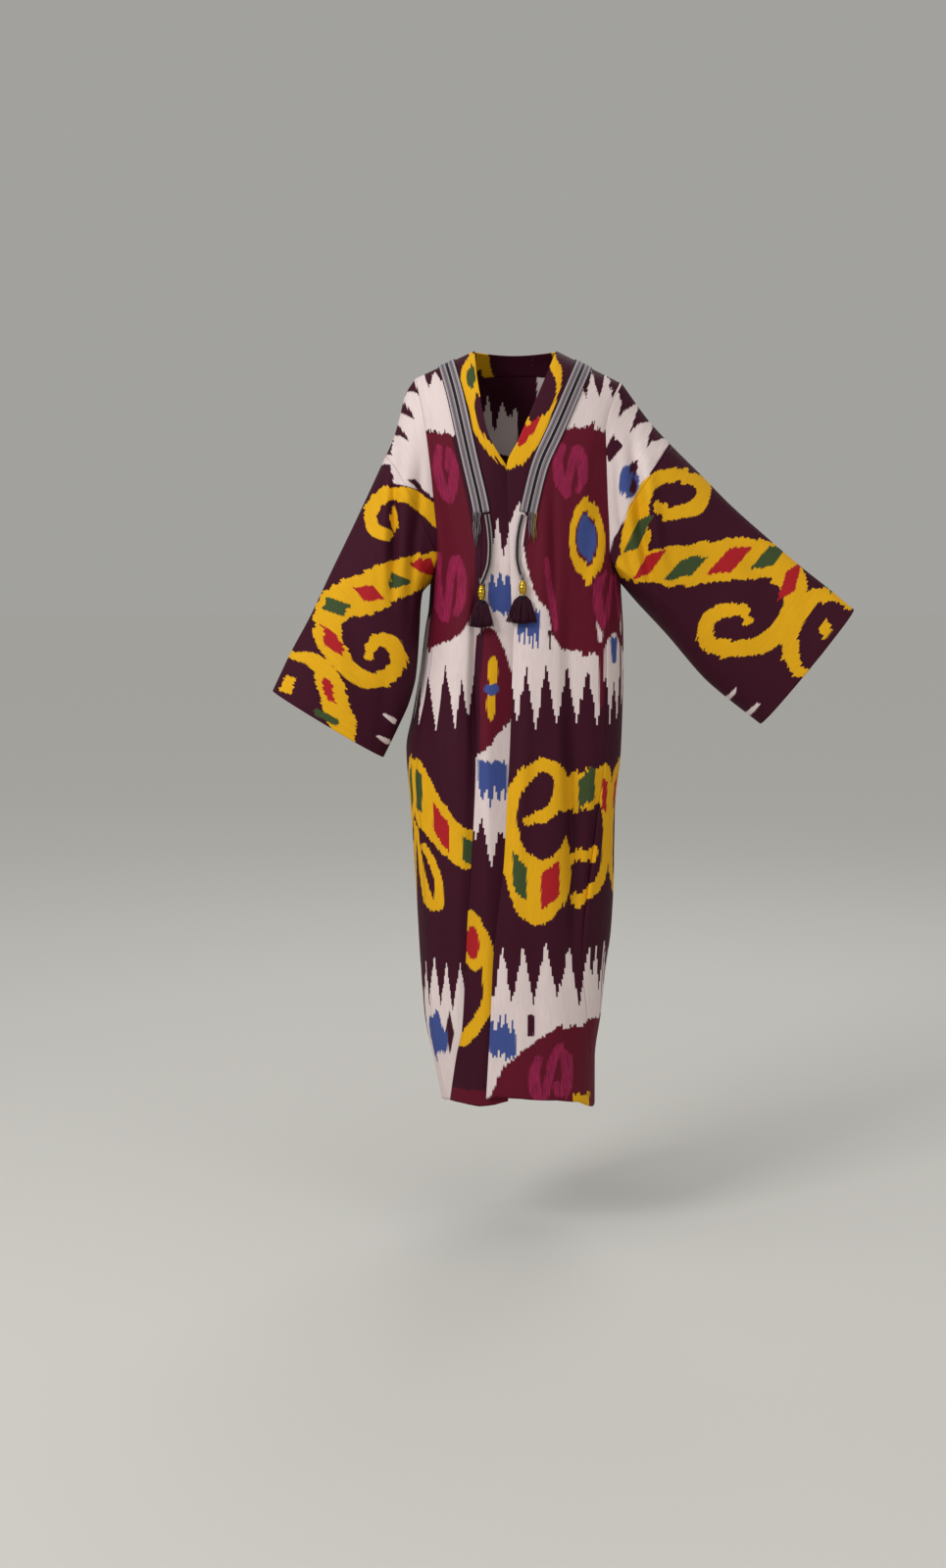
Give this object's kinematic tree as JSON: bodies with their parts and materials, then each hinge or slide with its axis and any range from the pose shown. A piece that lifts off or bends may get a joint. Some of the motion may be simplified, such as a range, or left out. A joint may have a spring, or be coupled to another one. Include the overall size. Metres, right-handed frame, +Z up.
{
  "type": "uzbek chapan robe",
  "caption": "Long open-fronted Central Asian robe of ikat cloth with wide straight sleeves, striped neck braid, and ties ending in gold beads and dark tassels.",
  "frame": {"origin": "between the shoulder tops, in the neck opening, where the wearer's shoulders hold the robe", "axes": "+Z up, -Y the front of the robe, +X the wearer's left"},
  "size_m": [0.9869, 0.3113, 1.2967],
  "materials": {
    "back_panel": "plain-weave silk and cotton with a warp-dyed ikat pattern, soft sheen",
    "bead_left": "polished gold-coloured metal",
    "bead_right": "polished gold-coloured metal",
    "braid_end_left": "narrow hand-woven grey and black braid",
    "braid_end_right": "narrow hand-woven grey and black braid",
    "front_left": "plain-weave silk and cotton with a warp-dyed ikat pattern, soft sheen",
    "front_right": "plain-weave silk and cotton with a warp-dyed ikat pattern, soft sheen",
    "front_strip_right": "plain-weave silk and cotton with a warp-dyed ikat pattern, soft sheen",
    "gore_left": "plain-weave silk and cotton with a warp-dyed ikat pattern, soft sheen",
    "gore_right": "plain-weave silk and cotton with a warp-dyed ikat pattern, soft sheen",
    "neck_band_back": "plain-weave silk and cotton with a warp-dyed ikat pattern, soft sheen",
    "neck_band_left": "plain-weave silk and cotton with a warp-dyed ikat pattern, soft sheen",
    "neck_braid": "narrow hand-woven grey and black braid",
    "sleeve_head_left": "plain-weave silk and cotton with a warp-dyed ikat pattern, soft sheen",
    "sleeve_head_right": "plain-weave silk and cotton with a warp-dyed ikat pattern, soft sheen",
    "sleeve_left": "plain-weave silk and cotton with a warp-dyed ikat pattern, soft sheen",
    "sleeve_right": "plain-weave silk and cotton with a warp-dyed ikat pattern, soft sheen",
    "tassel_left": "loose dark plum silk threads",
    "tassel_right": "loose dark plum silk threads",
    "tie_left": "narrow hand-woven grey and black braid",
    "tie_right": "narrow hand-woven grey and black braid"
  },
  "bodies": {
    "root": {"back_panel": "back_panel", "bead_left": "bead_left", "bead_right": "bead_right", "braid_end_left": "braid_end_left", "braid_end_right": "braid_end_right", "front_left": "front_left", "front_right": "front_right", "front_strip_right": "front_strip_right", "gore_left": "gore_left", "gore_right": "gore_right", "neck_band_back": "neck_band_back", "neck_band_left": "neck_band_left", "neck_braid": "neck_braid", "sleeve_head_left": "sleeve_head_left", "sleeve_head_right": "sleeve_head_right", "sleeve_left": "sleeve_left", "sleeve_right": "sleeve_right", "tassel_left": "tassel_left", "tassel_right": "tassel_right", "tie_left": "tie_left", "tie_right": "tie_right"}
  },
  "joints": []
}
